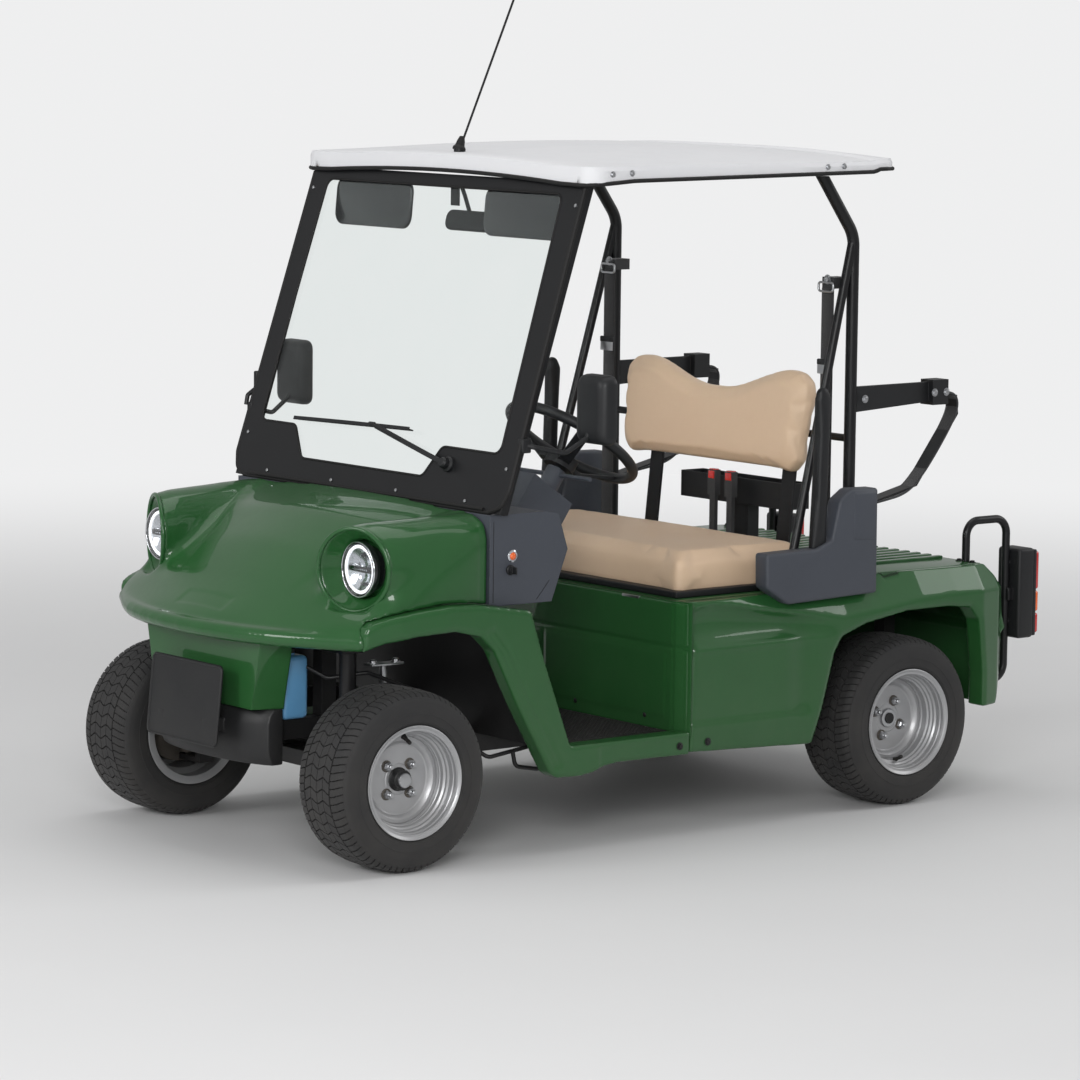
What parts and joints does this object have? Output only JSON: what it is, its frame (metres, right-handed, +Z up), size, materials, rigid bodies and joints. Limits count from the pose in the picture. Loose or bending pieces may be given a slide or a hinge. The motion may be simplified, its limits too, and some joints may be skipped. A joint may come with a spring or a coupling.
{
  "type": "golf cart",
  "caption": "Electric golf cart with a roof, a windshield, a bench seat, a rear deck with bag holders, turning wheels and working steering.",
  "frame": {"origin": "on the ground, at the centre of the overall box", "axes": "+X to the cart's left, +Y to its tail, +Z up; the nose points to -Y"},
  "size_m": [1.436, 2.5, 2.1682],
  "materials": {
    "body_green": "gloss",
    "roof_white": "satin",
    "charcoal_plastic": "grained matt",
    "black_steel": "semi-gloss",
    "silver_steel": "satin",
    "grey_iron": "matt",
    "tyre_rubber": "matt",
    "black_rubber": "ribbed matt",
    "tan_vinyl": "grained satin",
    "clear_pane": "clear",
    "lamp_glass": "clear",
    "red_lens": "gloss",
    "black_webbing": "woven",
    "battery_case": "matt",
    "blue_plastic": "satin"
  },
  "bodies": {
    "cart": {"backrest": "tan_vinyl", "bag_carrier": "charcoal_plastic", "battery_pack": "battery_case", "chassis_frame": "black_steel", "corner_covers": "charcoal_plastic", "dash_panel": "charcoal_plastic", "door_mirrors": "charcoal_plastic", "drive_motor": "grey_iron", "floor_mat": "black_rubber", "floor_tray": "charcoal_plastic", "front_apron": "body_green", "front_bumper": "black_steel", "front_suspension": "black_steel", "headlamps": "lamp_glass", "hood": "body_green", "pedals": "black_steel", "rear_axle": "black_steel", "rear_body": "body_green", "rear_hoops": "black_steel", "rear_posts": "black_steel", "roof": "roof_white", "roof_antenna": "black_steel", "seat_base": "body_green", "seat_belts": "black_webbing", "side_guards": "tan_vinyl", "side_panel_left": "body_green", "side_panel_right": "body_green", "steering_column": "charcoal_plastic", "tail_lamps": "red_lens", "washer_bottle": "blue_plastic", "windshield_fittings": "charcoal_plastic", "windshield_frame": "charcoal_plastic", "windshield_glass": "clear_pane"},
    "front_left_wheel": {"front_left_rim": "silver_steel", "front_left_tyre": "tyre_rubber"},
    "front_right_wheel": {"front_right_rim": "silver_steel", "front_right_tyre": "tyre_rubber"},
    "rear_left_wheel": {"rear_left_rim": "silver_steel", "rear_left_tyre": "tyre_rubber"},
    "rear_right_wheel": {"rear_right_rim": "silver_steel", "rear_right_tyre": "tyre_rubber"},
    "left_knuckle": {"knuckle_left": "grey_iron"},
    "right_knuckle": {"knuckle_right": "grey_iron"},
    "steering_wheel": {"steering_wheel": "charcoal_plastic"},
    "seat": {"seat_cushion": "tan_vinyl"}
  },
  "joints": [
    {"name": "front_left_steer", "type": "hinge", "parent": "cart", "child": "left_knuckle", "pos_m": [0.42, -0.94, 0.2295], "axis": [0, 0, 1], "range_deg": [-30, 30]},
    {"name": "front_right_steer", "type": "hinge", "parent": "cart", "child": "right_knuckle", "pos_m": [-0.42, -0.94, 0.2295], "axis": [0, 0, 1], "range_deg": [-30, 30]},
    {"name": "front_left_spin", "type": "hinge", "parent": "left_knuckle", "child": "front_left_wheel", "pos_m": [0.5, -0.94, 0.2295], "axis": [1, 0, 0], "continuous": true},
    {"name": "front_right_spin", "type": "hinge", "parent": "right_knuckle", "child": "front_right_wheel", "pos_m": [-0.5, -0.94, 0.2295], "axis": [1, 0, 0], "continuous": true},
    {"name": "rear_left_spin", "type": "hinge", "parent": "cart", "child": "rear_left_wheel", "pos_m": [0.49, 0.725, 0.2295], "axis": [1, 0, 0], "continuous": true},
    {"name": "rear_right_spin", "type": "hinge", "parent": "cart", "child": "rear_right_wheel", "pos_m": [-0.49, 0.725, 0.2295], "axis": [1, 0, 0], "continuous": true},
    {"name": "steering_wheel_turn", "type": "hinge", "parent": "cart", "child": "steering_wheel", "pos_m": [0.27, -0.205, 1.01], "axis": [0, 0.5736, 0.8192], "range_deg": [-420, 420]},
    {"name": "seat_lift", "type": "hinge", "parent": "cart", "child": "seat", "pos_m": [0, 0.445, 0.613], "axis": [-1, 0, 0], "range_deg": [0, 45]}
  ],
  "couplings": [
    {"joint": "front_right_steer", "follows": "front_left_steer", "ratio": 1},
    {"joint": "steering_wheel_turn", "follows": "front_left_steer", "ratio": 14}
  ]
}
